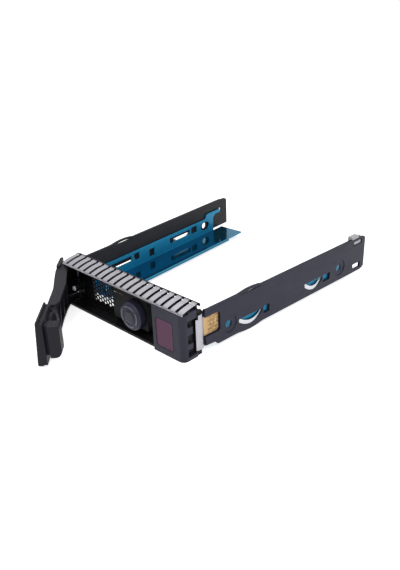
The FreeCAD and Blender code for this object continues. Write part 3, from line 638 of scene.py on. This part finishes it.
def dress_leaf(side, word, place):
    """Leaf spring bowed outwards in a window, tallest towards the front and tapered to the rear."""
    y0, y1, sill, top = (v * MM for v in WINDOWS[place])
    points = []
    faces = []
    for k in range(LEAF_STEPS + 1):
        t = k / LEAF_STEPS
        bow = 1 - (2 * t - 1) ** 2
        y = y0 + LEAF_END_GAP + t * (y1 - y0 - 2 * LEAF_END_GAP)
        drop = LEAF_END_DROP + (1 - LEAF_END_DROP) * bow
        low_z = top - (top - sill) * drop + LEAF_SILL_GAP
        high_z = min(low_z + (top - sill) * (LEAF_TALL - LEAF_TAPER * t), top - LEAF_TOP_GAP)
        outer = LEAF_DEPTH - LEAF_BOW * bow
        points += [on_rail(side, depth, y, z) for depth in (outer, outer + LEAF_THICK)
                   for z in (low_z, high_z)]
    for k in range(LEAF_STEPS):
        a = 4 * k
        b = a + 4
        faces += [(a, b, b + 1, a + 1), (a + 2, a + 3, b + 3, b + 2), (a, a + 2, b + 2, b),
                  (a + 1, b + 1, b + 3, a + 3)]
    last = 4 * LEAF_STEPS
    faces += [(0, 1, 3, 2), (last, last + 2, last + 3, last + 1)]
    if side < 0:
        faces = [face[::-1] for face in faces]
    mesh = new_mesh("leaf_%s_%s" % (word, place), points, faces)
    stand_in(mesh, "leaf_spring_%s_%s" % (word, place))


def rounded_loop(low, high, grow, radius):
    """Points round a rounded rectangle that is a little larger than a box, going round once."""
    inset = radius - grow
    corners = ((high.x - inset, high.z - inset), (low.x + inset, high.z - inset),
               (low.x + inset, low.z + inset), (high.x - inset, low.z + inset))
    loop = []
    for turn, (x, z) in enumerate(corners):
        for k in range(CORNER_STEPS + 1):
            a = math.pi / 2 * (turn + k / CORNER_STEPS)
            loop.append((x + radius * math.cos(a), z + radius * math.sin(a)))
    return loop


def dress_tile():
    """Dark seam round the button's tile, let into the grey block's face."""
    spots = world_points("release_button")
    face_y = min(p.y for p in spots)
    low, high = box_of([p for p in spots if p.y < face_y + TILE_FACE])
    inner = rounded_loop(low, high, SEAM_PLAY, SEAM_INNER_RADIUS)
    outer = rounded_loop(low, high, SEAM_PLAY + SEAM_WIDTH, SEAM_OUTER_RADIUS)
    front = FRONT_FACE - SEAM_PROUD
    points = [(x, y, z) for y in (front, front + SEAM_THICK) for x, z in inner + outer]
    count = len(inner)
    faces = []
    for a in range(count):
        b = (a + 1) % count
        rings = [(a + count * ring, b + count * ring) for ring in range(4)]
        for first, second in ((0, 1), (3, 2), (2, 0), (1, 3)):
            faces.append(rings[first] + rings[second][::-1])
    add_piece(new_mesh("tile_seam", points, faces), MATS["bezel_black"])


for node_name, obj in NODES.items():
    obj.data.materials.clear()
    obj.data.materials.append(material_of(node_name))
for node_name, edge_width in EDGE_WIDTH.items():
    soften(node_name, edge_width)
dress_post_screw()
dress_board()
dress_gasket()
dress_tile()
for place_word in WINDOWS:
    dress_leaf(1, "right", place_word)
    dress_leaf(-1, "left", place_word)


# Floor, world and lamps
def seen_straight(tree):
    """1 for what is seen by the camera, in a reflection or through a clear piece, 0 for light."""
    path = tree.nodes.new("ShaderNodeLightPath")
    seen = path.outputs["Is Camera Ray"]
    for ray in ("Is Glossy Ray", "Is Transmission Ray"):
        larger = tree.nodes.new("ShaderNodeMath")
        larger.operation = "MAXIMUM"
        tree.links.new(seen, larger.inputs[0])
        tree.links.new(path.outputs[ray], larger.inputs[1])
        seen = larger.outputs["Value"]
    return seen


def make_floor():
    """White floor that glows a little where it is seen, and not as a lamp."""
    corners = [(-1, -1), (1, -1), (1, 1), (-1, 1)]
    mesh = new_mesh("floor", [(x * FLOOR_HALF, y * FLOOR_HALF, 0) for x, y in corners],
                    [(0, 1, 2, 3)])
    m = Material("floor")
    m.put("Base Color", m.mix(m.noise(6.0), (0.86, 0.86, 0.86, 1), (0.9, 0.9, 0.9, 1)))
    m.put("Roughness", 0.9)
    m.put("Specular IOR Level", 0.1)
    m.put("Emission Color", (1, 1, 1, 1))
    m.put("Emission Strength", m.join("MULTIPLY", seen_straight(m.tree), FLOOR_GLOW))
    mesh.materials.append(m.mat)
    floor = bpy.data.objects.new("floor", mesh)
    floor.location.z = CAD_BOX[0][2] - FLOOR_DROP
    bpy.context.scene.collection.objects.link(floor)


def make_world():
    world = bpy.data.worlds.new("studio")
    bpy.context.scene.world = world
    world.use_nodes = True
    tree = world.node_tree
    back = tree.nodes["Background"]
    back.inputs["Color"].default_value = (1, 1, 1, 1)
    level = tree.nodes.new("ShaderNodeMapRange")
    level.inputs["To Min"].default_value = WORLD_LIGHT
    level.inputs["To Max"].default_value = 1.0
    tree.links.new(seen_straight(tree), level.inputs["Value"])
    tree.links.new(level.outputs["Result"], back.inputs["Strength"])


def add_lamp(name, at, aim, size, power):
    data = bpy.data.lights.new(name, "AREA")
    data.shape = "RECTANGLE"
    data.size, data.size_y = size
    data.energy = power
    lamp = bpy.data.objects.new(name, data)
    bpy.context.scene.collection.objects.link(lamp)
    lamp.location = at
    lamp.rotation_euler = (Vector(aim) - Vector(at)).to_track_quat("-Z", "Y").to_euler()


make_floor()
make_world()
for lamp_name, settings in LAMPS.items():
    add_lamp(lamp_name, *settings)

scene = bpy.context.scene
scene.view_settings.view_transform = "Standard"
